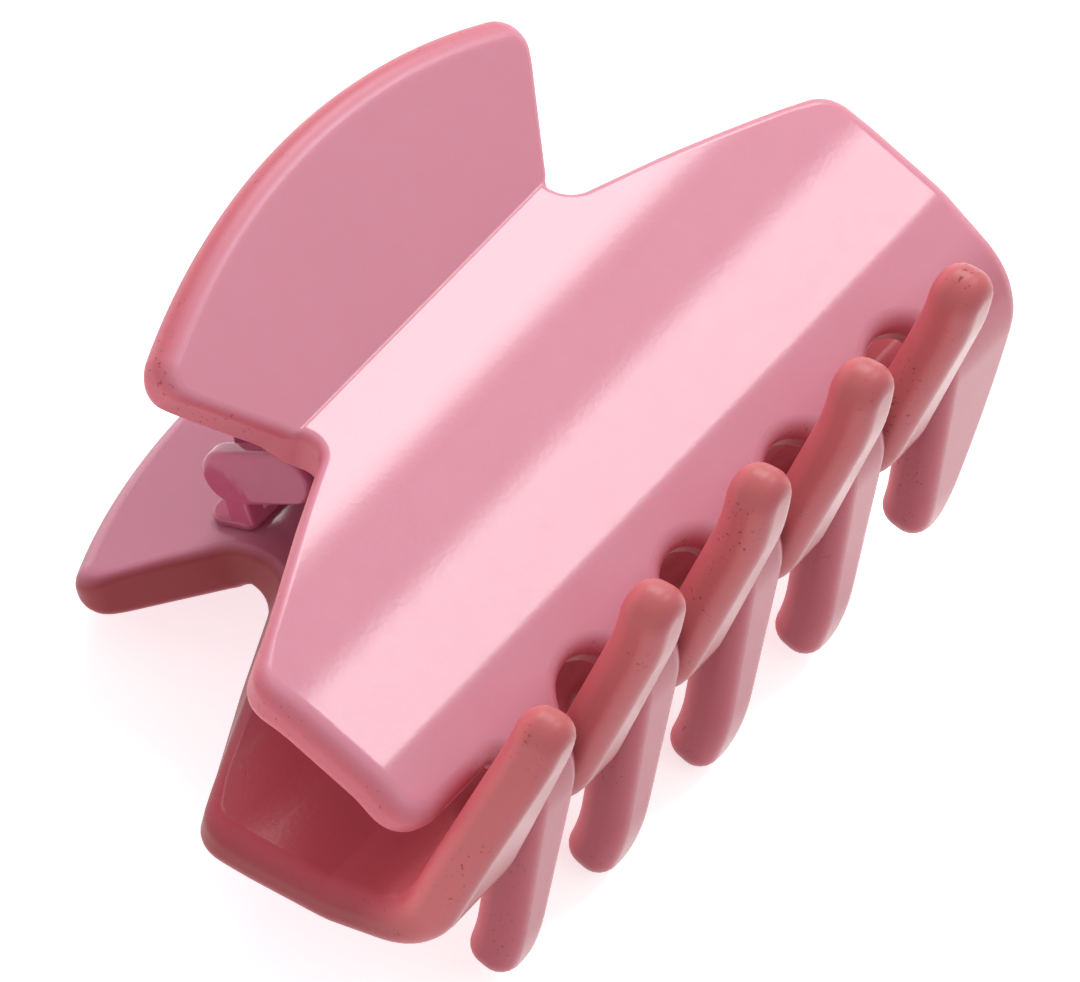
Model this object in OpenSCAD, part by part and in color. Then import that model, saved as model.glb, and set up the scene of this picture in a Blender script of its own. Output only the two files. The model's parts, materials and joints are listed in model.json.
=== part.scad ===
// Claw clip for hair. Two identical moulded jaws, one turned half way round, interleave their
// teeth and swing on a steel pin. A torsion spring round the pin holds them shut.
//
// Clip frame: X along the hinge pin, Y from the teeth (-Y) to the handle wings (+Y), Z from the
// lower jaw to the upper jaw. Z = 0 is the plane half way between the jaws. resting() then tilts
// and lifts the clip, so that it stands on the lower wing and the upper jaw's teeth at Z = 0.

/* [Jaw] */
// Half of the jaw's length along the hinge
body_half = 38.6; // [37:0.2:40]
// Wall thickness of the jaws
wall = 4.2; // [3.6:0.1:4.4]
// Half of the neck's width, between the wing and the body
neck_half = 15.7; // [15.5:0.1:17]
// Distance from the wing's crease to the middle of its outer edge
wing_reach = 16.1; // [14:0.1:18]
// Slope of the handle wing
wing_slope = 31.7; // [28:0.1:36]
// Half of the wing's width at its corners
wing_half = 23.5; // [21:0.5:26]
// Radius of the wing's outer edge, seen square to the wing
wing_edge_r = 55; // [45:1:80]

/* [Teeth] */
// Number of teeth on each jaw
tooth_count = 5; // [5:1:5]
// Distance between two teeth of one jaw
tooth_pitch = 13.87; // [13.7:0.01:14.2]
// Half of a tooth's width at its root
tooth_root_half = 3.2; // [2.8:0.1:3.2]
// Half of a tooth's width at its tip
tooth_tip_half = 2.5; // [2.2:0.1:2.7]
// How far the middle teeth reach past the mid-plane
tooth_reach = 21; // [19:0.5:22]
// How much shorter the outermost tooth is than a middle one
tooth_falloff = 2.8; // [0:0.2:4]

/* [Hinge] */
// Radius of the steel hinge pin
pin_r = 1.0; // [0.8:0.1:1.2]
// Radial clearance of the pin in the upper bracket
pin_clearance = 0.05; // [0.02:0.01:0.1]
// Thickness of the upper bracket's base plate
base_t = 1.2; // [1:0.1:1.3]
// Thickness of the lower bracket's base plate
lower_base_t = 0.8; // [0.8:0.1:1.3]
// Thickness of a bracket ear along the pin
ear_t = 2.0; // [1.6:0.1:2.2]
// Outer end of the lower bracket's ears and of the pin
ear_end = 15.2; // [15:0.1:15.4]
// Radius of the upper bracket's knuckles
knuckle_r = 3.5; // [3:0.1:3.5]
// Length of the oval heads on the lower bracket's ears
head_length = 10.7; // [9:0.1:10.8]
// Width of the oval heads
head_width = 4.8; // [4.4:0.1:6.4]

/* [Spring] */
// Diameter of the spring wire
wire_d = 1.1; // [0.9:0.1:1.2]
// Mean radius of the spring's coil
coil_r = 2.6; // [2.4:0.1:2.7]
// Turns in the coil
coil_turns = 8; // [6:1:9]
// Distance between two turns
coil_pitch = 1.6; // [1.5:0.1:1.8]
// Length of each straight leg
leg_length = 9; // [7:0.5:9]

/* [Hidden] */
$fn = 48;

// Corners of the outer side profile, as [y, z]: creases between the flat facets.
hinge_y = 5.2;
crease_ab = [2.7, 9.6];
crease_bc = [-4.8, 11.1];
crease_cd = [-12.3, 10.7];
crease_de = [-20.0, 9.2];
roll_start = [-24.5, 7.3];

// The wall rolls over along an arc, from the last facet's slope to the slope of the teeth.
roll_slope = atan2(crease_de[1] - roll_start[1], crease_de[0] - roll_start[0]);
roll_r = 7.7;
roll_centre = roll_start - roll_r * [-sin(roll_slope), cos(roll_slope)];
roll_inner_y = roll_centre[0] - roll_r + wall;

// Each tooth runs straight down, splayed a little outwards, and curves inwards to its tip.
splay = 6;
tooth_slope = 90 - splay;
roll_end = roll_centre + roll_r * [-sin(tooth_slope), cos(tooth_slope)];
curl_z = -13;
curl_r = 25;
curl_start = roll_end + (roll_end[1] - curl_z) * [-tan(splay), -1];
curl_centre = curl_start - curl_r * [-sin(tooth_slope), cos(tooth_slope)];
curl_end = acos((-tooth_reach - curl_centre[1]) / curl_r);

// Places in the tooth row. The last tooth is flush with the +X end.
last_tooth_x = 2.25 * tooth_pitch;
gap_r = tooth_pitch / 2 - tooth_root_half - 0.1;
gap_tilt = 30;
gap_root = [-24.2, 7.4];
shoulder_y = -24.1;
shoulder_z = 5.15;
shoulder_tilt = 28;
flank_top = 6;

// Wall corners on the inner side of the crease between wing and body.
wing_normal = [-sin(wing_slope), cos(wing_slope)];
wing_heel = crease_ab - wall * wing_normal;
wing_overlap = 1.5;

// Hinge brackets, measured along the inner face of a wing from the point nearest to the pin.
wing_gap = (wing_heel - [hinge_y, 0]) * wing_normal;
base_from = 1.7;
base_to = 9.6;
lower_base_to = 6.3;
glue_gap = 0.08;
stem_from = 1.7;
stem_to = 3.8;
ear_gap = 0.3;
head_turn = 42;

// Free standing pose: the tilt brings the lower wing and the upper teeth to one level.
rest_tilt = -3.58;
rest_shift = [0, 6.13, 19.06];

// The spring's legs lean from the coil towards the wings.
leg_lean = 5.6;
coil_half = coil_turns * coil_pitch / 2;

function unit(v) = v / norm(v);
function left_of(v) = [-v[1], v[0]];

// Point at distance d to the left of corner b on the path a, b, c.
function mitre(a, b, c, d) =
    let (m = left_of(unit(b - a)), n = left_of(unit(c - b)))
    b + d * (m + n) / (1 + m * n);

// The path's inner side: every point moved square to the path by d.
function inner_path(p, d) = [
    for (i = [0 : len(p) - 1])
        i == 0 ? p[0] + d * left_of(unit(p[1] - p[0]))
        : i == len(p) - 1 ? p[i] + d * left_of(unit(p[i] - p[i - 1]))
        : mitre(p[i - 1], p[i], p[i + 1], d)
];

function reversed(p) = [for (i = [len(p) - 1 : -1 : 0]) p[i]];

// Outer side of the wall from the crease at the wing to the tooth tips.
roll_steps = 10;
curl_steps = 6;
outer_path = concat(
    [crease_ab, crease_bc, crease_cd, crease_de],
    [for (i = [0 : roll_steps])
        let (a = roll_slope + (tooth_slope - roll_slope) * i / roll_steps)
        roll_centre + roll_r * [-sin(a), cos(a)]],
    [for (i = [0 : curl_steps])
        let (a = tooth_slope + (curl_end - tooth_slope) * i / curl_steps)
        curl_centre + curl_r * [-sin(a), cos(a)]]
);

// Tip height of the tooth at x: the row's ends are shorter.
function tip_z(x) = -tooth_reach + tooth_falloff * pow(x / last_tooth_x, 2);

module resting() {
    translate(rest_shift) rotate([rest_tilt, 0, 0]) children();
}

// A [y, z] outline drawn out along X, over the given half length.
module along_x(half) {
    rotate([90, 0, 90]) translate([0, 0, -half]) linear_extrude(2 * half) children();
}

// Side profile of the body, with a tongue that runs into the wing's own plate.
module wall_profile() {
    tongue = 1.2;
    sink = 0.05;
    inner = inner_path(outer_path, wall);
    body_outer = [for (i = [1 : len(outer_path) - 1]) outer_path[i]];
    body_inner = [for (i = [1 : len(inner) - 1]) inner[i]];
    wing_point = crease_ab + [cos(wing_slope), sin(wing_slope)];
    ridge = mitre(wing_point, crease_ab, crease_bc, wall);
    tongue_tip = crease_ab + tongue * unit(crease_ab - crease_bc);
    polygon(concat(
        [tongue_tip], body_outer, reversed(body_inner),
        [ridge - sink * wing_normal, wing_heel - sink * wing_normal]
    ));
}

// Points along a round corner, from one angle to another.
function arc_points(centre, r, from, to, steps) = [
    for (i = [0 : steps])
        let (a = from + (to - from) * i / steps)
        centre + r * [cos(a), sin(a)]
];

// A closed outline that is symmetric about X = 0, from its right-hand half.
module both_sides(half) {
    polygon(concat(half, [for (p = reversed(half)) [-p[0], p[1]]]));
}

// Body seen from above: neck, flare, rounded corners and straight ends.
module body_plan() {
    corner_r = 3;
    flare_slope = 20.5;
    neck_y = 0.3;
    top_y = crease_ab[0] + wall;
    corner = [body_half, neck_y - (body_half - neck_half) * tan(flare_slope)];
    centre = corner - corner_r * [1, tan(45 - flare_slope / 2)];
    both_sides(concat(
        [[neck_half + 3.6, top_y], [neck_half + 1.3, crease_ab[0]], [neck_half, neck_y]],
        arc_points(centre, corner_r, 90 - flare_slope, 0, 6),
        [[body_half, roll_inner_y - 15]]
    ));
}

// Handle wing seen square to its surface: x across, s away from the crease.
module wing_plan() {
    corner_r = 2.4;
    foot = [neck_half + 1.4, 0];
    edge_centre = [0, wing_reach - wing_edge_r];
    corner_x = wing_half - corner_r;
    centre = edge_centre + [corner_x, sqrt(pow(wing_edge_r - corner_r, 2) - pow(corner_x, 2))];
    side = centre - foot;
    side_angle = atan2(side[1], side[0]) - asin(corner_r / norm(side)) - 90;
    edge_angle = acos(corner_x / (wing_edge_r - corner_r));
    both_sides(concat(
        [[neck_half + 0.2, -wing_overlap], foot],
        arc_points(centre, corner_r, side_angle, edge_angle, 8),
        arc_points(edge_centre, wing_edge_r, edge_angle + 2, 90 - 1, 10)
    ));
}

// Outlines of the teeth in [x, z], tapered with round tips. The flush tooth also spreads to the
// body's end at its root.
module tooth_plan(x) {
    tip = tip_z(x) + tooth_tip_half;
    flush = x == last_tooth_x;
    flank = [
        [body_half, flank_top], [body_half - 0.3, 2], [body_half - 1, -3],
        [body_half - 2.3, -8], [body_half - 4, -13]
    ];
    polygon(concat(
        flush ? flank : [[x + tooth_root_half, flank_top], [x + tooth_root_half, 0]],
        arc_points([x, tip], tooth_tip_half, 0, -180, 12),
        [[x - tooth_root_half, 0], [x - tooth_root_half, flank_top]]
    ));
}

// Everything beside and below the teeth, taken away along Y.
module tooth_row_cut() {
    depth = tooth_reach + 2;
    far = body_half + 2;
    translate([0, roll_inner_y + 0.6, 0]) rotate([90, 0, 0]) linear_extrude(14)
        difference() {
            polygon([
                [-far, -depth], [far, -depth], [far, flank_top - 0.1],
                [last_tooth_x, flank_top - 0.1], [last_tooth_x, 0], [-far, 0]
            ]);
            for (i = [1 : tooth_count]) tooth_plan(last_tooth_x - (i - 1) * tooth_pitch);
        }
}

// Gap between two teeth: a round root in the roll-over and straight sides, square to the wall.
module gap_cut(x) {
    translate([x, gap_root[0], gap_root[1]]) rotate([gap_tilt, 0, 0]) translate([0, 0, -32])
        linear_extrude(48) polygon(concat(
            arc_points([0, -gap_r], gap_r, 0, 180, 16),
            [[-gap_r, -40], [gap_r, -40]]
        ));
}

// Shoulder at the end without a flush tooth: the body stops short of the other jaw's last tooth.
module shoulder_cut() {
    end_r = 3.2;
    root_r = 1.5;
    depth = 40;
    tooth_side = last_tooth_x - (tooth_count - 1) * tooth_pitch - tooth_root_half - 0.1;
    translate([0, shoulder_y, shoulder_z]) rotate([shoulder_tilt, 0, 0]) translate([0, 0, -34])
        linear_extrude(50) polygon(concat(
            [[-body_half - 2, -depth], [tooth_side, -depth]],
            arc_points([tooth_side - root_r, -root_r], root_r, 0, 90, 5),
            arc_points([-body_half + end_r, end_r], end_r, 270, 185, 6),
            [[-body_half - 2, end_r]]
        ));
}

// One jaw in the upper position.
module jaw() {
    difference() {
        union() {
            intersection() {
                along_x(body_half) wall_profile();
                translate([0, 0, -tooth_reach - 2]) linear_extrude(tooth_reach + 20) body_plan();
            }
            translate([0, crease_ab[0], crease_ab[1]]) rotate([wing_slope, 0, 0])
                translate([0, 0, -wall]) linear_extrude(wall) wing_plan();
        }
        for (i = [1 : tooth_count - 1]) gap_cut(last_tooth_x - (i - 0.5) * tooth_pitch);
        shoulder_cut();
        tooth_row_cut();
    }
}

module upper_jaw() {
    color([0.94, 0.68, 0.75]) resting() jaw();
}

module lower_jaw() {
    color([0.90, 0.60, 0.68]) resting() rotate([0, 180, 0]) jaw();
}

// Coordinates square to the upper wing: u along its inner face, v out towards it from the pin.
module at_wing() {
    translate([hinge_y, 0]) rotate(wing_slope) children();
}

// Base plate glued under the wing, over the given half length, up to u = far.
module base_plate(half, far, thick) {
    along_x(half) at_wing()
        translate([base_from, wing_gap - thick - glue_gap]) square([far - base_from, thick]);
}

// The upper bracket's ear: a knuckle with a cheek that widens to the base plate.
module knuckle_ear(from) {
    translate([from, 0, 0]) rotate([90, 0, 90]) linear_extrude(ear_t) difference() {
        union() {
            translate([hinge_y, 0]) circle(knuckle_r);
            at_wing() polygon([
                [-1, 1], [knuckle_r * 0.98, 0.2],
                [base_to, wing_gap - base_t / 2 - glue_gap], [base_from, wing_gap - base_t / 2 - glue_gap]
            ]);
        }
        translate([hinge_y, 0]) circle(pin_r + pin_clearance);
    }
}

// The lower bracket's ear, drawn for the upper side: an oval head on a stem.
module oval_ear(from) {
    straight = head_length - head_width;
    translate([from, 0, 0]) rotate([90, 0, 90]) linear_extrude(ear_t) difference() {
        union() {
            translate([hinge_y, 0]) rotate(head_turn) {
                for (end = [-0.5, 0.5]) translate([end * straight, 0]) circle(head_width / 2);
                square([straight, head_width], center = true);
            }
            at_wing() translate([stem_from, 0])
                square([stem_to - stem_from, wing_gap - lower_base_t / 2 - glue_gap]);
        }
        translate([hinge_y, 0]) circle(pin_r);
    }
}

module upper_hinge_bracket() {
    ear_out = ear_end - ear_t - ear_gap;
    color([0.72, 0.36, 0.50]) resting() {
        base_plate(ear_out, base_to, base_t);
        knuckle_ear(ear_out - ear_t);
        knuckle_ear(-ear_out);
    }
}

module lower_hinge_bracket() {
    color([0.66, 0.31, 0.46]) resting() rotate([0, 180, 0]) {
        base_plate(ear_end, lower_base_to, lower_base_t);
        oval_ear(ear_end - ear_t);
        oval_ear(-ear_end);
    }
}

module hinge_pin() {
    color([0.80, 0.80, 0.82]) resting()
        translate([-ear_end, hinge_y, 0]) rotate([0, 90, 0]) cylinder(r = pin_r, h = 2 * ear_end);
}

// Centre line of the spring, about the pin: leg on the lower wing, coil, leg on the upper wing.
// The coil starts and ends where a leg runs straight off it.
leg_angle = wing_slope + leg_lean;
coil_sweep = 360 * coil_turns + 180 + 2 * leg_angle;
coil_steps = 20 * coil_turns;
coil_points = [
    for (i = [0 : coil_steps])
        let (t = i / coil_steps, a = coil_sweep * t - 90 - leg_angle)
        [coil_half * (2 * t - 1), coil_r * cos(a), coil_r * sin(a)]
];
wire_path = concat(
    [coil_points[0] + leg_length * [0, cos(leg_angle), -sin(leg_angle)]],
    coil_points,
    [coil_points[coil_steps] + leg_length * [0, cos(leg_angle), sin(leg_angle)]]
);

// A tube of the given radius round a path, with flat ends.
module swept_wire(path, r, sides) {
    last = len(path) - 1;
    rings = [
        for (i = [0 : last])
            let (
                ahead = unit(path[min(i + 1, last)] - path[max(i - 1, 0)]),
                across = unit(cross(ahead, [1, 0, 0.0001])),
                up = cross(across, ahead)
            )
            for (k = [0 : sides - 1])
                path[i] + r * (cos(360 * k / sides) * across + sin(360 * k / sides) * up)
    ];
    side_faces = [
        for (i = [0 : last - 1]) for (k = [0 : sides - 1])
            let (a = i * sides + k, b = i * sides + (k + 1) % sides)
            each [[a, b, b + sides], [a, b + sides, a + sides]]
    ];
    ends = [
        [for (k = [sides - 1 : -1 : 0]) k],
        [for (k = [0 : sides - 1]) last * sides + k]
    ];
    polyhedron(rings, concat(side_faces, ends), convexity = 10);
}

module torsion_spring() {
    color([0.75, 0.75, 0.78]) resting()
        translate([0, hinge_y, 0]) swept_wire(wire_path, wire_d / 2, 8);
}

lower_jaw();
upper_jaw();
lower_hinge_bracket();
upper_hinge_bracket();
hinge_pin();
torsion_spring();
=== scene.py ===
"""Claw clip: two jaws of one shape, two hinge brackets, a steel pin and a torsion spring."""

import json
import math

import bmesh
import bpy
import numpy as np
from mathutils import Matrix, Vector
from mathutils.geometry import delaunay_2d_cdt


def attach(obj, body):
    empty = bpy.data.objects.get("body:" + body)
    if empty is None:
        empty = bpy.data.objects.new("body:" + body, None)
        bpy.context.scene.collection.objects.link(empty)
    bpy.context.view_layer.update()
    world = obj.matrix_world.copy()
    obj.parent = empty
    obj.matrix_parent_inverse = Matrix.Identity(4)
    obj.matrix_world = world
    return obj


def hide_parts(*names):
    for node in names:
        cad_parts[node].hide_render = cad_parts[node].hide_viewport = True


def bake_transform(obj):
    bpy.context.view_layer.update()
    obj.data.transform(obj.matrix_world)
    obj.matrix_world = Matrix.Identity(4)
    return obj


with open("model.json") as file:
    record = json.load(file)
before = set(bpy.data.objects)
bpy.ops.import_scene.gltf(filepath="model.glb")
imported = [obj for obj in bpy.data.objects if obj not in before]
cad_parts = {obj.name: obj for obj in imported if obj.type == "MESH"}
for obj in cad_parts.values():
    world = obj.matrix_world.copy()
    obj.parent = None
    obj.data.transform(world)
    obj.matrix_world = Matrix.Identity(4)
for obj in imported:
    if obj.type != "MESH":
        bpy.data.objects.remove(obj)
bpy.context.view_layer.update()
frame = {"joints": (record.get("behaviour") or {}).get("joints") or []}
scene = bpy.context.scene
MM = 0.001

# ---------------------------------------------------------------- dimensions, in millimetres
# Clip frame: X along the pin, Y from the teeth to the wings, Z from the lower to the upper jaw.
WALL = 4.2
HALF_WALL = WALL / 2
BODY_HALF = 38.6
NECK = (15.7, 0.3)
FLARE_SLOPE = 20.5
FLARE_CORNER_R = 3.0
WING_REACH = 16.1
WING_SLOPE = 31.7
WING_HALF = 23.5
WING_EDGE_R = 55.0
WING_CORNER_R = 2.4
WING_FOOT_X = 17.1
WING_TIP_THIN = 0.78
WING_THIN_RUN = 12.0

# Corners of the outer side profile, as (y, z), and the mid-wall radius that softens each.
CREASES = [(2.7, 9.6), (-4.8, 11.1), (-12.3, 10.7), (-20.0, 9.2)]
CREASE_RADII = [2.7, 16.0, 20.0, 3.2]
ROLL_START = (-24.5, 7.3)
ROLL_R = 7.7
TOOTH_SPLAY = 6.0
CURL_Z = -13.0
CURL_R = 25.0
CURL_TO = 294

TOOTH_PITCH = 13.87
TOOTH_COUNT = 5
TOOTH_ROOT_HALF = 3.3
TOOTH_TIP_HALF = 2.5
TOOTH_REACH = 20.8
TOOTH_FALLOFF = 2.8
LAST_TOOTH_X = 2.25 * TOOTH_PITCH
GAP_R = TOOTH_PITCH / 2 - TOOTH_ROOT_HALF
GAP_ROOT_Y = -23.15
FLANK_TOP_Z = 5.0
FLANK_POWER = 1.66
SHOULDER_Y = -24.1
SHOULDER_CORNER_R = 3.2
SHOULDER_ROOT_R = 1.5

HINGE_Y = 5.2
REST_TILT = -3.58
PIN_R = 1.0
PIN_CLEARANCE = 0.05
WIRE_R = 0.55
COIL_R = 2.6
COIL_TURNS = 8
COIL_HALF = 6.4
LEG_LENGTH = 9.0
LEG_ANGLE = WING_SLOPE + 5.6
BASE_FROM, BASE_TO, BASE_T = 1.7, 9.6, 1.2
GLUE_GAP = 0.08
EAR_T = 2.0
LOWER_EAR_END = 15.2
UPPER_EAR_END = 12.9
KNUCKLE_R = 3.5
HEAD_LENGTH, HEAD_WIDTH, HEAD_TURN = 10.7, 4.8, 43.0
LOWER_BASE_TO, LOWER_BASE_T = 6.3, 0.8
STEM_FROM, STEM_TO = 1.7, 3.8
CHEEK_TO = 9.3
CHEEK_SIDE = (9.75, 1.4)

# ---------------------------------------------------------------- placing
hinge = [j for j in frame["joints"] if j["name"] == "jaw_hinge"][0]
to_row = (
    Matrix.Translation(Vector(hinge["pos_m"]))
    @ Matrix.Rotation(math.radians(REST_TILT), 4, "X")
    @ Matrix.Translation(Vector((0, -HINGE_Y * MM, 0)))
)
turned_over = to_row @ Matrix.Rotation(math.pi, 4, "Y")


def moved(points, matrix):
    """Points in millimetres of the clip frame, as row frame points in metres."""
    m = np.array(matrix)
    return (points * MM) @ m[:3, :3].T + m[:3, 3]


def turned(normals, matrix):
    return normals @ np.array(matrix)[:3, :3].T


# ---------------------------------------------------------------- the wall's mid-surface
def heading(a, b):
    return math.degrees(math.atan2(b[1] - a[1], b[0] - a[0])) % 360


def left(degrees):
    a = math.radians(degrees)
    return np.array([-math.sin(a), math.cos(a)])


def ahead(degrees):
    a = math.radians(degrees)
    return np.array([math.cos(a), math.sin(a)])


def wall_path():
    """Mid-line of the wall from the wing's tip to past the tooth tips: rows of u, y, z, heading."""
    tip = np.array(CREASES[0]) + WING_REACH * ahead(WING_SLOPE)
    outer = [tip] + [np.array(c) for c in CREASES] + [np.array(ROLL_START)]
    heads = [heading(a, b) for a, b in zip(outer, outer[1:])]
    rows = [[0.0, *(outer[0] + HALF_WALL * left(heads[0])), heads[0]]]

    def line(length, head):
        u, y, z, _ = rows[-1]
        y, z = np.array([y, z]) + length * ahead(head)
        rows.append([u + length, y, z, head])

    def arc(radius, to_head):
        u, y, z, head = rows[-1]
        side = 1 if to_head > head else -1
        centre = np.array([y, z]) + side * radius * left(head)
        steps = max(4, int(abs(to_head - head)))
        for i in range(1, steps + 1):
            h = head + (to_head - head) * i / steps
            y, z = centre - side * radius * left(h)
            rows.append([u + radius * math.radians(abs(h - head)), y, z, h])

    for i in range(1, len(outer) - 1):
        m, n = left(heads[i - 1]), left(heads[i])
        corner = outer[i] + HALF_WALL * (m + n) / (1 + m @ n)
        turn = math.radians(abs(heads[i] - heads[i - 1]))
        radius = CREASE_RADII[i - 1]
        run = np.linalg.norm(corner - np.array(rows[-1][1:3])) - radius * math.tan(turn / 2)
        line(run, heads[i - 1])
        arc(radius, heads[i])
    roll_mid = outer[-1] + HALF_WALL * left(heads[-1])
    line(np.linalg.norm(roll_mid - np.array(rows[-1][1:3])), heads[-1])
    arc(ROLL_R - HALF_WALL, 270 - TOOTH_SPLAY)
    line((rows[-1][2] - CURL_Z) / math.cos(math.radians(TOOTH_SPLAY)), 270 - TOOTH_SPLAY)
    arc(CURL_R - HALF_WALL, CURL_TO)
    return np.array(rows)


PATH = wall_path()
ON_TOP = PATH[:, 3] < 270 - TOOTH_SPLAY - 1
BELOW = PATH[:, 1] < ROLL_START[0] + 1.5


def u_at_y(y):
    top = PATH[ON_TOP]
    return float(np.interp(-y, -top[:, 1], top[:, 0]))


def u_at_z(z):
    face = PATH[BELOW]
    return float(np.interp(-z, -face[:, 2], face[:, 0]))


def on_wall(a, b, h):
    """Plan point (x, u) at height h over the mid-surface: its place and the three axes there."""
    y, z, head = (np.interp(b, PATH[:, 0], PATH[:, k]) for k in (1, 2, 3))
    t = np.radians(head)
    zero, one = np.zeros_like(t), np.ones_like(t)
    out = np.stack([zero, np.sin(t), -np.cos(t)], 1)
    along = np.stack([zero, np.cos(t), np.sin(t)], 1)
    across = np.stack([one, zero, zero], 1)
    thin = np.clip(1 - (WING_TIP_THIN - 1) * (b / WING_THIN_RUN - 1), WING_TIP_THIN, 1)
    h = HALF_WALL + (h - HALF_WALL) * thin
    return np.stack([a, y, z], 1) + h[:, None] * out, across, along, out


# ---------------------------------------------------------------- outlines
# An outline is a list of (a, b, na, nb): points in order round the material, which lies on
# their left, with the unit normal that points away from it.
def bow(centre, radius, start, end, step=9.0, hollow=False):
    count = max(2, int(abs(end - start) / step) + 1)
    out = []
    for i in range(count + 1):
        a = math.radians(start + (end - start) * i / count)
        n = -1 if hollow else 1
        out.append((
            centre[0] + radius * math.cos(a), centre[1] + radius * math.sin(a),
            n * math.cos(a), n * math.sin(a),
        ))
    return out


def rounded(corners):
    """Open run of corners (a, b, radius); the ends give only directions."""
    out = []
    for p, c, q in zip(corners, corners[1:], corners[2:]):
        h1, h2 = heading(p, c), heading(c, q)
        turn = (h2 - h1 + 180) % 360 - 180
        side = 1 if turn > 0 else -1
        reach = c[2] * math.tan(math.radians(abs(turn)) / 2)
        start = np.array(c[:2]) - reach * ahead(h1)
        centre = start + side * c[2] * left(h1)
        first = h1 - 90 * side
        out += bow(centre, c[2], first, first + turn, hollow=side < 0)
    return out


def filled(outline, longest):
    """The closed outline with extra points on its long straight runs."""
    out = []
    for p, q in zip(outline, outline[1:] + outline[:1]):
        p, q = np.array(p), np.array(q)
        gap = q[:2] - p[:2]
        length = float(np.hypot(*gap))
        if length < 1e-6:
            continue
        out.append(p)
        count = math.ceil(length / longest)
        normal = np.array([gap[1], -gap[0]]) / length
        for i in range(1, count):
            out.append(np.concatenate([p[:2] + gap * i / count, normal]))
    return np.array(out)


def mirrored(run):
    return [(-a, b, -na, nb) for a, b, na, nb in reversed(run)]


def jaw_outline():
    edge_turn = math.degrees(math.asin((WING_HALF - WING_CORNER_R) / (WING_EDGE_R - WING_CORNER_R)))
    corner_x = WING_HALF - WING_CORNER_R
    corner_u = WING_EDGE_R - math.sqrt((WING_EDGE_R - WING_CORNER_R) ** 2 - corner_x**2)
    foot = (WING_FOOT_X, WING_REACH)
    side = math.atan2(foot[1] - corner_u, corner_x - foot[0])
    side_angle = 90 - math.degrees(side) + math.degrees(
        math.asin(WING_CORNER_R / math.hypot(foot[1] - corner_u, corner_x - foot[0]))
    )
    wing = bow((0, WING_EDGE_R), WING_EDGE_R, -90, -90 + edge_turn, 1.5)
    wing += bow((corner_x, corner_u), WING_CORNER_R, -90 + edge_turn, side_angle)
    last = wing[-1]
    flare_y = NECK[1] - (BODY_HALF - NECK[0]) * math.tan(math.radians(FLARE_SLOPE))
    flare_u = u_at_y(flare_y)
    wing += rounded([
        (last[0], last[1]), (*foot, 6.0), (NECK[0], u_at_y(NECK[1]), 2.2),
        (BODY_HALF, flare_u, FLARE_CORNER_R), (BODY_HALF, flare_u + 20),
    ])
    root_u = u_at_y(GAP_ROOT_Y)
    gap_u = root_u + GAP_R
    shoulder_u = u_at_y(SHOULDER_Y)
    teeth = []
    for i in range(TOOTH_COUNT):
        x = LAST_TOOTH_X - i * TOOTH_PITCH
        tip_z = -TOOTH_REACH + TOOTH_FALLOFF * (x / LAST_TOOTH_X) ** 2
        tip_u = u_at_z(tip_z) - TOOTH_TIP_HALF
        taper = math.degrees(math.atan2(TOOTH_ROOT_HALF - TOOTH_TIP_HALF, tip_u - gap_u))
        if i == 0:
            end_angle = 21.0
            end_z = tip_z + TOOTH_TIP_HALF * (1 - math.sin(math.radians(end_angle)))
            end_x = x + TOOTH_TIP_HALF * math.cos(math.radians(end_angle))
            pull = (BODY_HALF - end_x) / (FLANK_TOP_Z - end_z) ** FLANK_POWER
            for z in np.linspace(FLANK_TOP_Z - 0.5, end_z + 0.6, 26):
                drop = FLANK_TOP_Z - z
                slope = pull * FLANK_POWER * drop ** (FLANK_POWER - 1)
                size = math.hypot(1, slope)
                flank_x = BODY_HALF - pull * drop**FLANK_POWER
                teeth.append((flank_x, u_at_z(z), 1 / size, slope / size))
            teeth += bow((x, tip_u), TOOTH_TIP_HALF, end_angle, 180 - taper)
        else:
            teeth += bow((x, tip_u), TOOTH_TIP_HALF, taper, 180 - taper)
        if i < TOOTH_COUNT - 1:
            teeth += bow((x - TOOTH_PITCH / 2, gap_u), GAP_R, -taper, taper - 180, hollow=True)
        else:
            centre = (x - TOOTH_ROOT_HALF - SHOULDER_ROOT_R, shoulder_u + SHOULDER_ROOT_R)
            teeth += bow(centre, SHOULDER_ROOT_R, -taper, -90, hollow=True)
    corner = (-BODY_HALF + SHOULDER_CORNER_R, shoulder_u - SHOULDER_CORNER_R)
    shoulder = bow(corner, SHOULDER_CORNER_R, 90, 180)
    return filled(wing + teeth + shoulder + mirrored(wing), 0.7)


# ---------------------------------------------------------------- plates with rounded edges
EDGE_ANGLES = [0, 12, 26, 42, 58, 74, 90]
# Where two tints of painted shade begin, as places u along the wall: the hollow on its inner side,
# and the teeth. The hollow's mask also sets a painted glow.
DEEP_FROM, DEEP_RUN = 20.0, 8
TEETH_FROM, TEETH_RUN = u_at_y(GAP_ROOT_Y) - 1.0, 7
# A grid point nearer to the rim than this is left out.
GRID_CLEARANCE = 0.45


def inside(points, loop):
    """Which points lie inside a closed loop."""
    x, y = points[:, 0][:, None], points[:, 1][:, None]
    x1, y1 = loop[:, 0], loop[:, 1]
    x2, y2 = np.roll(x1, -1), np.roll(y1, -1)
    crosses = (y1 > y) != (y2 > y)
    with np.errstate(divide="ignore", invalid="ignore"):
        at = (x2 - x1) * (y - y1) / (y2 - y1) + x1
    return (crosses & (x < at)).sum(1) % 2 == 1


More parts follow.
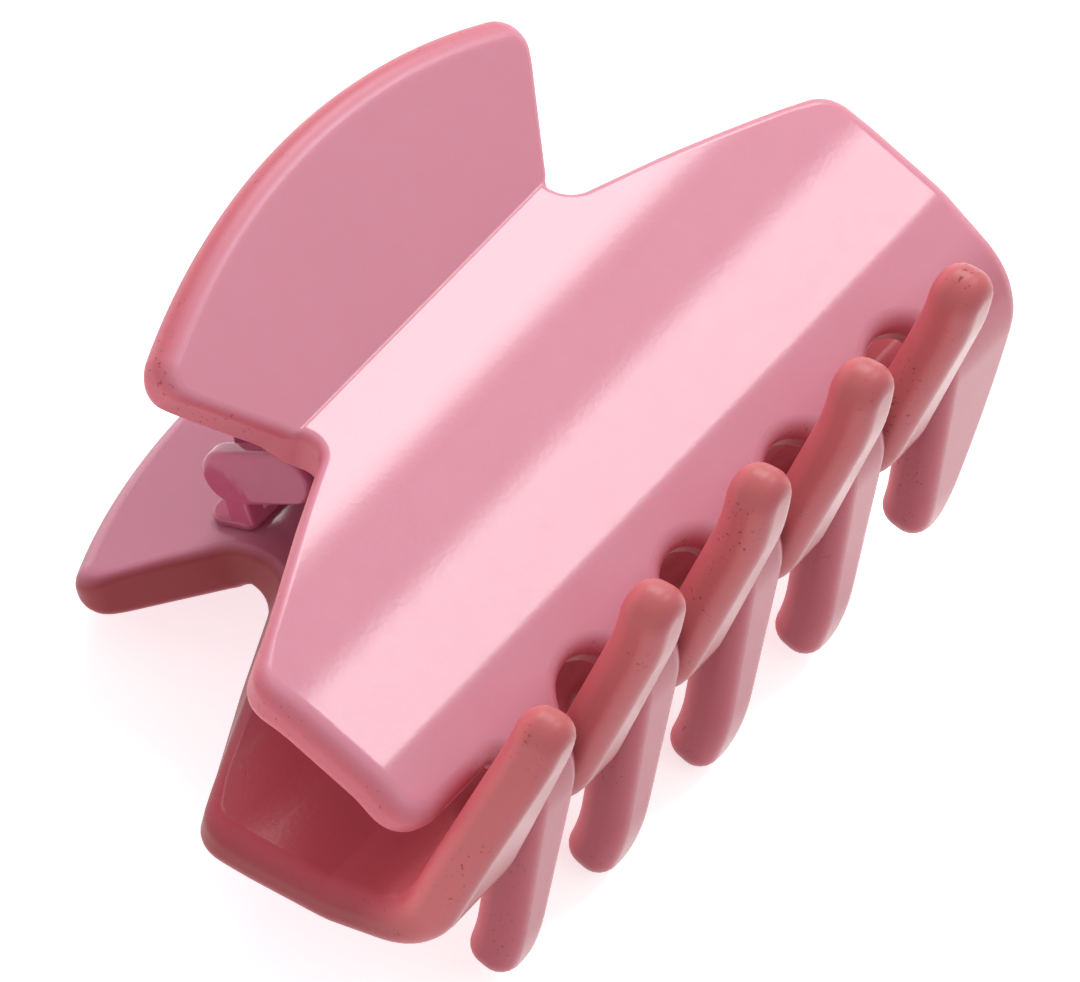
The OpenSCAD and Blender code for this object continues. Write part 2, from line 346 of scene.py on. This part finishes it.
def plate(name, loops, half, edge_r, place, grid=None, matrix=to_row):
    """Closed plate round a mid-surface. The loops are the outer outline, then the holes.

    edge_r(loop) gives the radius of the edge at each point of a loop.
    """
    coords, normals, rims, inners, teeth, faces = [], [], [], [], [], []

    def add(a, b, h, na, nb, nh, rim):
        points, across, along, out = place(a, b, h)
        n = na[:, None] * across + nb[:, None] * along + nh[:, None] * out
        first = sum(len(c) for c in coords)
        coords.append(points)
        normals.append(n)
        rims.append(rim)
        # Masks of painted shade: the inner faces of the hollow, and the teeth.
        inners.append(np.clip(-nh, 0, 1) * np.clip((b - DEEP_FROM) / DEEP_RUN, 0, 1))
        teeth.append(np.clip((b - TEETH_FROM) / TEETH_RUN, 0, 1))
        return list(range(first, first + len(a)))

    lips = []
    for loop in loops:
        r = edge_r(loop)
        rings = []
        for side, angles in ((1, EDGE_ANGLES[::-1]), (-1, EDGE_ANGLES)):
            for angle in angles:
                c, s = math.cos(math.radians(angle)), math.sin(math.radians(angle))
                inset = r * (1 - c)
                a = loop[:, 0] - inset * loop[:, 2]
                b = loop[:, 1] - inset * loop[:, 3]
                h = side * (half - r + r * s)
                rim = np.full(len(a), c)
                nh = np.full(len(a), side * s)
                rings.append(add(a, b, h, loop[:, 2] * c, loop[:, 3] * c, nh, rim))
        for upper, lower in zip(rings, rings[1:]):
            for i in range(len(upper)):
                j = (i + 1) % len(upper)
                faces.append((upper[i], upper[j], lower[j], lower[i]))
        lip = loop[:, :2] - r[:, None] * loop[:, 2:]
        lips.append((lip, rings[0], rings[-1]))

    flat = [tuple(p) for lip, _, _ in lips for p in lip]
    edges, start = [], 0
    for lip, _, _ in lips:
        edges += [(start + i, start + (i + 1) % len(lip)) for i in range(len(lip))]
        start += len(lip)
    above = [i for _, up, _ in lips for i in up]
    below = [i for _, _, down in lips for i in down]
    if grid is not None:
        keep = inside(grid, lips[0][0])
        for lip, _, _ in lips[1:]:
            keep &= ~inside(grid, lip)
        grid = grid[keep]
        rim_points = np.concatenate([lip for lip, _, _ in lips])
        far = np.array([np.min(np.hypot(*(rim_points - g).T)) > GRID_CLEARANCE for g in grid])
        grid = grid[far]
        zero, one = np.zeros(len(grid)), np.ones(len(grid))
        above += add(grid[:, 0], grid[:, 1], half * one, zero, zero, one, zero)
        below += add(grid[:, 0], grid[:, 1], -half * one, zero, zero, -one, zero)
        flat += [tuple(g) for g in grid]
    made = delaunay_2d_cdt([Vector(p) for p in flat], edges, [], 1, 1e-5)
    source = [ids[0] if ids else None for ids in made[3]]
    hole_loops = [lip for lip, _, _ in lips[1:]]
    for tri in made[2]:
        ids = [source[i] for i in tri]
        if None in ids:
            raise RuntimeError(name + ": two outlines cross")
        if hole_loops:
            middle = np.mean([flat[i] for i in ids], axis=0)[None, :]
            if any(inside(middle, hole)[0] for hole in hole_loops):
                continue
        faces.append([above[i] for i in ids])
        faces.append([below[i] for i in reversed(ids)])
    values = {"rim": rims, "deep": inners, "tooth": teeth}
    return mesh_from(
        name, moved(np.concatenate(coords), matrix), faces,
        turned(np.concatenate(normals), matrix),
        {key: np.concatenate(numbers) for key, numbers in values.items()},
    )


def mesh_from(name, coords, faces, normals=None, values=None):
    mesh = bpy.data.meshes.new(name)
    mesh.from_pydata([tuple(c) for c in coords], [], [tuple(f) for f in faces])
    for key, numbers in (values or {}).items():
        attribute = mesh.attributes.new(key, "FLOAT", "POINT")
        attribute.data.foreach_set("value", np.asarray(numbers, np.float32))
    work = bmesh.new()
    work.from_mesh(mesh)
    bmesh.ops.recalc_face_normals(work, faces=work.faces)
    work.to_mesh(mesh)
    work.free()
    mesh.shade_smooth()
    if normals is not None:
        unit = normals / np.linalg.norm(normals, axis=1)[:, None]
        mesh.normals_split_custom_set_from_vertices([tuple(n) for n in unit])
    obj = bpy.data.objects.new(name, mesh)
    scene.collection.objects.link(obj)
    return obj


# ---------------------------------------------------------------- jaws
def jaw_grid():
    """Inner points (x, u) of a jaw, with rows at the start, middle and end of each crease."""
    rows = list(np.arange(1.0, PATH[-1, 0], 0.9))
    turning = np.abs(np.diff(PATH[:, 3])) > 1e-6
    starts = PATH[:-1][turning & ~np.roll(turning, 1), 0]
    ends = PATH[1:][turning & ~np.roll(turning, -1), 0]
    marks = [m for pair in zip(starts, ends) for m in (pair[0], sum(pair) / 2, pair[1])]
    marks = marks[:3 * len(CREASES)]
    rows = [r for r in rows if min(abs(r - m) for m in marks) > 0.35] + marks
    columns = np.arange(-BODY_HALF + 0.6, BODY_HALF, 1.15)
    return np.array([(x, u) for u in sorted(rows) for x in columns])


WING_EDGE, BODY_EDGE, NECK_EDGE = 1.95, 1.75, 0.9


def jaw_edge_r(loop):
    """The wing's tip has the roundest edge; the wing's sides and the neck have the sharpest one."""
    x, u = np.abs(loop[:, 0]), loop[:, 1]
    round_edge = WING_EDGE - (WING_EDGE - BODY_EDGE) * np.clip((u - WING_REACH) / 8, 0, 1)
    from_neck = np.hypot(x - NECK[0], u - u_at_y(NECK[1]))
    near_neck = np.clip((26 - from_neck) / 6, 0, 1)
    past_wing_tip = np.clip((u - 5) / 4, 0, 1)
    return round_edge + (NECK_EDGE - round_edge) * near_neck * past_wing_tip


outline = jaw_outline()
grid = jaw_grid()
upper_jaw = plate("Upper_jaw", [outline], HALF_WALL, jaw_edge_r, on_wall, grid, to_row)
lower_jaw = plate("Lower_jaw", [outline], HALF_WALL, jaw_edge_r, on_wall, grid, turned_over)


# ---------------------------------------------------------------- brackets
WING_NORMAL = left(WING_SLOPE)
WING_ALONG = ahead(WING_SLOPE)
wing_heel = np.array(CREASES[0]) - WALL * WING_NORMAL
WING_GAP = float((wing_heel - np.array([HINGE_Y, 0])) @ WING_NORMAL)


def at_wing(u, v):
    """Point u along the wing's inner face and v out from the pin towards it, as (y, z)."""
    return np.array([HINGE_Y, 0]) + u * WING_ALONG + v * WING_NORMAL


def constant(value):
    return lambda loop: np.full(len(loop), value)


def across_pin(middle):
    """Plate square to the pin, in the plane of (y, z), round x = middle."""
    def place(a, b, h):
        one, zero = np.ones(len(a)), np.zeros(len(a))
        points = np.stack([middle + h, a, b], 1)
        return (
            points, np.stack([zero, one, zero], 1), np.stack([zero, zero, one], 1),
            np.stack([one, zero, zero], 1),
        )
    return place


def under_wing(middle):
    """Plate parallel to the wing, in the plane of (x, u), round the height v = middle."""
    def place(a, b, h):
        one, zero = np.ones(len(a)), np.zeros(len(a))
        y, z = (at_wing(0, middle)[k] + b * WING_ALONG[k] + h * WING_NORMAL[k] for k in (0, 1))
        return (
            np.stack([a, y, z], 1), np.stack([one, zero, zero], 1),
            np.stack([zero, one * WING_ALONG[0], one * WING_ALONG[1]], 1),
            np.stack([zero, one * WING_NORMAL[0], one * WING_NORMAL[1]], 1),
        )
    return place


def closed_run(corners):
    ring = corners[-1:] + corners + corners[:1]
    return rounded(ring)


def bore(radius):
    hole = bow((HINGE_Y, 0), radius, 0, -360, 9, hollow=True)[:-1]
    return np.array(hole)


SHARP_FOLD = math.radians(32)


def union(target, others, name):
    """Joins closed meshes into one; edges folded by more than SHARP_FOLD stay sharp."""
    for other in others:
        step = target.modifiers.new("join", "BOOLEAN")
        step.operation = "UNION"
        step.solver = "EXACT"
        step.object = other
    graph = bpy.context.evaluated_depsgraph_get()
    mesh = bpy.data.meshes.new_from_object(target.evaluated_get(graph))
    target.modifiers.clear()
    for other in others + [target]:
        bpy.data.objects.remove(other)
    mesh.name = name
    obj = bpy.data.objects.new(name, mesh)
    scene.collection.objects.link(obj)
    work = bmesh.new()
    work.from_mesh(mesh)
    bmesh.ops.remove_doubles(work, verts=work.verts, dist=2e-6)
    bmesh.ops.dissolve_degenerate(work, edges=work.edges, dist=2e-6)
    bmesh.ops.recalc_face_normals(work, faces=work.faces)
    for edge in work.edges:
        faces = edge.link_faces
        folded = len(faces) != 2 or faces[0].normal.angle(faces[1].normal, 0) >= SHARP_FOLD
        edge.smooth = not folded
    for face in work.faces:
        face.smooth = True
    work.to_mesh(mesh)
    work.free()
    return obj


def base_plate(name, half, far, thick, matrix):
    corners = [(-half, BASE_FROM, 0.8), (half, BASE_FROM, 0.8), (half, far, 1.6), (-half, far, 1.6)]
    loop = filled(closed_run(corners), 1.5)
    middle = WING_GAP - GLUE_GAP - thick / 2
    return plate(name, [loop], thick / 2, constant(0.35), under_wing(middle), None, matrix)


def oval_ear(name, middle, matrix):
    """Oval head on a stem that stands on the base plate."""
    straight = (HEAD_LENGTH - HEAD_WIDTH) / 2
    radius = HEAD_WIDTH / 2
    ends = [np.array([HINGE_Y, 0]) + s * straight * ahead(HEAD_TURN) for s in (1, -1)]
    oval = bow(ends[0], radius, HEAD_TURN - 90, HEAD_TURN + 90)
    oval += bow(ends[1], radius, HEAD_TURN + 90, HEAD_TURN + 270)
    head = filled(oval, 1.2)
    low, high = 0.4, WING_GAP - LOWER_BASE_T / 2 - GLUE_GAP
    feet = [
        (STEM_FROM, low, 0.4), (STEM_TO, low, 0.4),
        (STEM_TO + 0.2, high, 0.3), (STEM_FROM - 0.1, high, 0.3),
    ]
    stem = filled(closed_run([(*at_wing(u, v), r) for u, v, r in feet]), 1.2)
    place = across_pin(middle)
    return [
        plate(name + "_head", [head], EAR_T / 2, constant(0.55), place, None, matrix),
        plate(name + "_stem", [stem], EAR_T / 2 - 0.12, constant(0.3), place, None, matrix),
    ]


def tangent_angle(centre, radius, point, side):
    """Angle on the circle where a line from the point touches it."""
    gap = np.array(point) - np.array(centre)
    turn = math.degrees(math.acos(radius / np.linalg.norm(gap)))
    return math.degrees(math.atan2(gap[1], gap[0])) + side * turn


def knuckle_ear(name, middle, matrix):
    """Round knuckle with a cheek that widens towards the base plate."""
    v = WING_GAP - BASE_T / 2 - GLUE_GAP
    centre = (HINGE_Y, 0.0)
    far, near = at_wing(CHEEK_TO, v), at_wing(BASE_FROM - 0.2, v)
    start = tangent_angle(centre, KNUCKLE_R, near, 1)
    end = tangent_angle(centre, KNUCKLE_R, CHEEK_SIDE, -1) + 360
    knuckle = bow(centre, KNUCKLE_R, start, end)
    first, last = knuckle[0][:2], knuckle[-1][:2]
    cheek = rounded([(*last, 0), (*CHEEK_SIDE, 2.0), (*far, 0.5), (*near, 0.5), (*first, 0)])
    loop = filled(knuckle + cheek, 1.0)
    loops = [loop, bore(PIN_R + PIN_CLEARANCE)]
    return [plate(name, loops, EAR_T / 2, constant(0.4), across_pin(middle), None, matrix)]


def bracket(name, half, far, thick, ear, matrix):
    base = base_plate(name + "_base", half, far, thick, matrix)
    parts = []
    for side, tag in ((1, "_a"), (-1, "_b")):
        parts += ear(name + tag, side * (half - EAR_T / 2), matrix)
    return union(base, parts, name)


lower_bracket = bracket(
    "Lower_hinge_bracket", LOWER_EAR_END, LOWER_BASE_TO, LOWER_BASE_T, oval_ear, turned_over,
)
upper_bracket = bracket(
    "Upper_hinge_bracket", UPPER_EAR_END, BASE_TO, BASE_T, knuckle_ear, to_row,
)


# ---------------------------------------------------------------- pin and spring
def lathe(name, profile, sides):
    """Solid of revolution about the pin from (x, radius) points; the ends close on the axis."""
    coords = [(profile[0][0], HINGE_Y, 0)]
    for x, r in profile:
        for k in range(sides):
            a = 2 * math.pi * k / sides
            coords.append((x, HINGE_Y + r * math.cos(a), r * math.sin(a)))
    coords.append((profile[-1][0], HINGE_Y, 0))
    faces = []
    for k in range(sides):
        n = (k + 1) % sides
        faces.append((0, 1 + n, 1 + k))
        for i in range(len(profile) - 1):
            a, b = 1 + i * sides, 1 + (i + 1) * sides
            faces.append((a + k, a + n, b + n, b + k))
        last = 1 + (len(profile) - 1) * sides
        faces.append((last + k, last + n, len(coords) - 1))
    return mesh_from(name, moved(np.array(coords, float), to_row), faces)


# The pin is a hair thinner than its bore, and its ends are rounded.
SHOWN_PIN_R = PIN_R - 0.005
half_pin = [
    (14.6, 0.3), (14.58, 0.55), (14.5, 0.78), (14.36, 0.92), (14.2, 0.985), (14.0, SHOWN_PIN_R),
]
shank = [(x, SHOWN_PIN_R) for x in np.linspace(12, -12, 13)]
pin = lathe("Hinge_pin", half_pin + shank + [(-x, r) for x, r in reversed(half_pin)], 40)


def tube(name, path, radii, sides):
    """Round wire along a path with closed, slightly rounded ends."""
    path = np.array(path, float)
    coords, faces = [tuple(path[0])], []
    count = len(path)
    for i, (p, r) in enumerate(zip(path, radii)):
        way = path[min(i + 1, count - 1)] - path[max(i - 1, 0)]
        way = way / np.linalg.norm(way)
        across = np.cross(way, [1, 0, 0.0001])
        across /= np.linalg.norm(across)
        up = np.cross(across, way)
        for k in range(sides):
            a = 2 * math.pi * k / sides
            coords.append(tuple(p + r * (math.cos(a) * across + math.sin(a) * up)))
    coords.append(tuple(path[-1]))
    for k in range(sides):
        n = (k + 1) % sides
        faces.append((0, 1 + n, 1 + k))
        for i in range(count - 1):
            a, b = 1 + i * sides, 1 + (i + 1) * sides
            faces.append((a + k, a + n, b + n, b + k))
        last = 1 + (count - 1) * sides
        faces.append((last + k, last + n, len(coords) - 1))
    return mesh_from(name, moved(np.array(coords), to_row), faces)


def spring_path():
    sweep = 360 * COIL_TURNS + 180 + 2 * LEG_ANGLE
    steps = 30 * COIL_TURNS
    coil = []
    for i in range(steps + 1):
        t = i / steps
        a = math.radians(sweep * t - 90 - LEG_ANGLE)
        coil.append(np.array([
            COIL_HALF * (2 * t - 1), HINGE_Y + COIL_R * math.cos(a), COIL_R * math.sin(a),
        ]))
    c, s = math.cos(math.radians(LEG_ANGLE)), math.sin(math.radians(LEG_ANGLE))
    reach = [LEG_LENGTH, LEG_LENGTH - 0.12, LEG_LENGTH - 0.3]
    reach += list(np.linspace(LEG_LENGTH - 1, 0.7, 9))
    first = [coil[0] + d * np.array([0, c, -s]) for d in reach]
    second = [coil[-1] + d * np.array([0, c, s]) for d in reversed(reach)]
    radii = [0.3, 0.45, WIRE_R] + [WIRE_R] * (len(reach) - 3)
    return first + coil + second, radii + [WIRE_R] * len(coil) + list(reversed(radii))


wire, wire_radii = spring_path()
spring = tube("Torsion_spring", wire, wire_radii, 16)


# ---------------------------------------------------------------- materials
def srgb(r, g, b):
    """Colour on a 0-255 screen scale as linear light."""
    def one(v):
        v /= 255
        return v / 12.92 if v <= 0.04045 else ((v + 0.055) / 1.055) ** 2.4
    return (one(r), one(g), one(b), 1.0)


class Nodes:
    """Short way to build a material's nodes."""

    def __init__(self, name):
        self.material = bpy.data.materials.new(name)
        self.material.use_nodes = True
        self.tree = self.material.node_tree
        self.shader = self.tree.nodes["Principled BSDF"]

    def add(self, kind, **values):
        node = self.tree.nodes.new(kind)
        for key, value in values.items():
            setattr(node, key, value)
        return node

    def link(self, a, b):
        self.tree.links.new(a, b)

    def place(self):
        return self.add("ShaderNodeTexCoord").outputs["Object"]

    def noise(self, scale, detail=2.0, rough=0.5):
        node = self.add("ShaderNodeTexNoise")
        node.inputs["Scale"].default_value = scale
        node.inputs["Detail"].default_value = detail
        node.inputs["Roughness"].default_value = rough
        self.link(self.place(), node.inputs["Vector"])
        return node.outputs["Fac"]

    def spread(self, value, low, high, to_low, to_high):
        node = self.add("ShaderNodeMapRange")
        self.link(value, node.inputs["Value"])
        limits = {"From Min": low, "From Max": high, "To Min": to_low, "To Max": to_high}
        for key, number in limits.items():
            node.inputs[key].default_value = number
        return node.outputs["Result"]

    def math(self, operation, a, b):
        node = self.add("ShaderNodeMath", operation=operation)
        for socket, value in zip(node.inputs, (a, b)):
            if isinstance(value, (int, float)):
                socket.default_value = value
            else:
                self.link(value, socket)
        return node.outputs[0]

    def mix(self, factor, a, b):
        node = self.add("ShaderNodeMix", data_type="RGBA")
        for socket, value in ((node.inputs[0], factor), (node.inputs[6], a), (node.inputs[7], b)):
            if isinstance(value, (tuple, float)):
                socket.default_value = value
            else:
                self.link(value, socket)
        return node.outputs[2]

    def value(self, name):
        return self.add("ShaderNodeAttribute", attribute_name=name).outputs["Fac"]

    def bump(self, height, strength, distance):
        node = self.add("ShaderNodeBump")
        node.inputs["Strength"].default_value = strength
        node.inputs["Distance"].default_value = distance
        self.link(height, node.inputs["Height"])
        self.link(node.outputs["Normal"], self.shader.inputs["Normal"])

    def set(self, **values):
        for key, value in values.items():
            socket = self.shader.inputs[key.replace("_", " ")]
            if isinstance(value, (int, float, tuple)):
                socket.default_value = value
            else:
                self.link(value, socket)


def jaw_plastic(name, body_tint, rim_shade_tint, hollow_shade_tint, tooth_shade_tint, tooth_rim_shade_tint):
    """Glossy, slightly translucent plastic; its moulded edges are duller, with small dark flecks.

    A faint red glow, which real plastic has not, stands for light through the wall of the hollow.
    The rim, hollow and teeth tints are painted shade, darker than the body.
    """
    n = Nodes(name)
    tooth = n.value("tooth")
    hollow = n.value("deep")
    body = n.mix(n.noise(90, 2), srgb(*body_tint), srgb(*(c - 4 for c in body_tint)))
    # Painted shade: the teeth get a darker tint.
    face = n.mix(tooth, body, srgb(*tooth_shade_tint))
    # Painted shade: the inner faces of the hollow get a darker tint.
    deep = n.mix(hollow, face, srgb(*hollow_shade_tint))
    # Painted shade: the side faces of the rim get a darker tint.
    edge = n.mix(tooth, srgb(*rim_shade_tint), srgb(*tooth_rim_shade_tint))
    rim = n.spread(n.value("rim"), 0.4, 0.95, 0.0, 1.0)
    tinted = n.mix(rim, deep, edge)
    clusters = n.spread(n.noise(170, 1), 0.50, 0.62, 0.0, 1.0)
    flecks = n.spread(n.noise(2600, 1), 0.66, 0.70, 0.0, 0.75)
    speck = n.math("MULTIPLY", n.math("MULTIPLY", flecks, clusters), rim)
    colour = n.mix(speck, tinted, srgb(112, 48, 50))
    gloss = n.spread(n.noise(700, 2), 0.3, 0.7, 0.205, 0.235)
    dull = n.spread(n.value("rim"), 0.05, 0.5, 0.0, 0.17)
    shine = n.spread(n.value("rim"), 0.05, 0.5, 0.5, 0.27)
    n.set(
        Base_Color=colour, Roughness=n.math("ADD", gloss, dull), IOR=1.5,
        # Painted shade: the hollow reflects less.
        Specular_IOR_Level=n.math("MULTIPLY", shine, n.spread(hollow, 0.0, 1.0, 1.0, 0.2)),
        Subsurface_Weight=0.25, Subsurface_Radius=(1.0, 0.35, 0.3), Subsurface_Scale=0.0022,
        Emission_Color=(0.8, 0.15, 0.18, 1.0),
        Emission_Strength=n.math("MULTIPLY", hollow, n.spread(tooth, 0.0, 1.0, 0.12, 0.32)),
    )
    n.bump(n.noise(2200, 2), 0.05, 0.0002)
    return n.material


def bracket_plastic():
    """Tinted clear plastic, with a faint glow that stands for light through its thin walls."""
    n = Nodes("Bracket_plastic")
    cloud = n.noise(160, 2)
    rim = n.spread(n.value("rim"), 0.4, 1.0, 0.0, 1.0)
    body = n.mix(cloud, srgb(178, 78, 106), srgb(166, 66, 94))
    colour = n.mix(rim, body, srgb(146, 60, 88))
    n.set(
        Base_Color=colour, Roughness=n.spread(n.noise(900, 2), 0.3, 0.7, 0.08, 0.16), IOR=1.49,
        Specular_IOR_Level=0.4, Transmission_Weight=0.3, Subsurface_Weight=0.15,
        Subsurface_Radius=(1.0, 0.3, 0.45), Subsurface_Scale=0.0015,
        Emission_Color=(0.55, 0.15, 0.26, 1.0), Emission_Strength=0.09,
    )
    n.bump(n.noise(1500, 2), 0.08, 0.0002)
    return n.material


def steel(name, colour, scale):
    n = Nodes(name)
    streaks = n.noise(scale, 4, 0.7)
    n.set(
        Base_Color=n.mix(streaks, srgb(*colour), srgb(*(c - 40 for c in colour))),
        Metallic=1.0, Roughness=n.spread(streaks, 0.3, 0.7, 0.22, 0.38),
    )
    n.bump(streaks, 0.12, 0.0001)
    return n.material


def floor_paper():
    """Pale paper that also gives off light, so that the floor looks white up to its shadows."""
    n = Nodes("Floor_paper")
    grain = n.noise(300, 2)
    n.set(
        Base_Color=n.mix(grain, srgb(226, 226, 226), srgb(224, 224, 224)), Roughness=0.9,
        Specular_IOR_Level=0.1, Emission_Color=(1.0, 1.0, 1.0, 1.0), Emission_Strength=0.6,
    )
    n.bump(grain, 0.02, 0.0002)
    return n.material


# Tints of the body, rim, hollow, teeth and the teeth's edges. They are fitted to one light and hold
# painted shade:
# the two jaws are one plastic, but the lower jaw's tints are darker, and the rim, hollow and teeth
# tints are darker than the body.
UPPER_TINTS = ((203, 132, 149), (187, 92, 106), (152, 62, 72), (168, 80, 94), (158, 72, 84))
LOWER_SHADED_TINTS = ((180, 110, 131), (136, 48, 53), (152, 56, 66), (164, 82, 88), (180, 92, 95))
upper_material = jaw_plastic("Jaw_plastic_upper", *UPPER_TINTS)
lower_material = jaw_plastic("Jaw_plastic_lower_shaded", *LOWER_SHADED_TINTS)
bracket_material = bracket_plastic()
pin_material = steel("Pin_steel", (200, 198, 196), 900)
spring_material = steel("Spring_steel", (188, 188, 192), 1200)

# ---------------------------------------------------------------- into the frame
PIECES = [
    (upper_jaw, "upper_jaw", "upper", "jaw_plastic", upper_material),
    (lower_jaw, "lower_jaw", "lower", "jaw_plastic", lower_material),
    (lower_bracket, "lower_hinge_bracket", "lower", "bracket_plastic", bracket_material),
    (upper_bracket, "upper_hinge_bracket", "upper", "bracket_plastic", bracket_material),
    (pin, "hinge_pin", "lower", "pin_steel", pin_material),
    (spring, "torsion_spring", None, "spring_steel", spring_material),
]
for piece, node, body, slot, material in PIECES:
    piece.data.materials.clear()
    piece.data.materials.append(material)
    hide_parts(node)
    if body:
        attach(piece, body)
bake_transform(spring)

# ---------------------------------------------------------------- floor, lights, world, camera
FLOOR_HALF = 6.0
floor = mesh_from(
    "Floor", [(x * FLOOR_HALF, y * FLOOR_HALF, 0) for x, y in ((-1, -1), (1, -1), (1, 1), (-1, 1))],
    [(0, 1, 2, 3)],
)
floor.data.materials.append(floor_paper())

AIM = Vector((-0.000073, -0.004873, 0.019046))


PANEL_DISTANCE = 0.9
PANEL_RADIANCE = 9.0
# How far the view leans along the pin, as the sine and cosine of one angle.
VIEW_ALONG_PIN, VIEW_ACROSS_PIN = 0.596, 0.803


def panel(name, direction, size_x, size_y):
    """Rectangular soft box seen from the clip in the given direction, with an even radiance."""
    light = bpy.data.lights.new(name, "AREA")
    light.shape = "RECTANGLE"
    light.size = size_x
    light.size_y = size_y
    light.energy = PANEL_RADIANCE * math.pi * size_x * size_y
    obj = bpy.data.objects.new(name, light)
    scene.collection.objects.link(obj)
    back = Vector(direction).normalized()
    side = Vector((1, 0, 0)) - back.x * back
    side.normalize()
    up = back.cross(side)
    obj.matrix_world = Matrix((
        (side.x, up.x, back.x, AIM.x + PANEL_DISTANCE * back.x),
        (side.y, up.y, back.y, AIM.y + PANEL_DISTANCE * back.y),
        (side.z, up.z, back.z, AIM.z + PANEL_DISTANCE * back.z),
        (0, 0, 0, 1),
    ))


def facing(theta):
    """Direction that a facet tilted about the pin's axis sends towards the camera."""
    t = math.radians(theta)
    return (VIEW_ALONG_PIN, VIEW_ACROSS_PIN * math.sin(t), VIEW_ACROSS_PIN * math.cos(t))


def span(half_angle):
    return 2 * PANEL_DISTANCE * math.tan(math.radians(half_angle))


# Each panel lights up one facet: the second and the fourth, counted from the wing.
panel("Panel_b", facing(41.5), span(13), span(10))
panel("Panel_d", facing(-3.0), span(13), span(6))

world = bpy.data.worlds.new("Studio")
scene.world = world
world.use_nodes = True
world.node_tree.nodes["Background"].inputs["Color"].default_value = (1, 1, 1, 1)
world.node_tree.nodes["Background"].inputs["Strength"].default_value = 0.8
scene.view_settings.view_transform = "Standard"

camera_data = bpy.data.cameras.new("Camera")
camera_data.lens = 667.42
camera_data.sensor_width = 36
camera_data.clip_start = 0.05
camera_data.clip_end = 20
camera = bpy.data.objects.new("Camera", camera_data)
scene.collection.objects.link(camera)
RIGHT = (0.55905, -0.78731, 0.26001)
UP = (0.57678, 0.59456, 0.56020)
BACK = (-0.59564, -0.16321, 0.78650)
PLACE = (-0.89244, -0.24939, 1.19735)
camera.matrix_world = Matrix(
    [(RIGHT[k], UP[k], BACK[k], PLACE[k]) for k in range(3)] + [(0, 0, 0, 1)]
)
scene.camera = camera
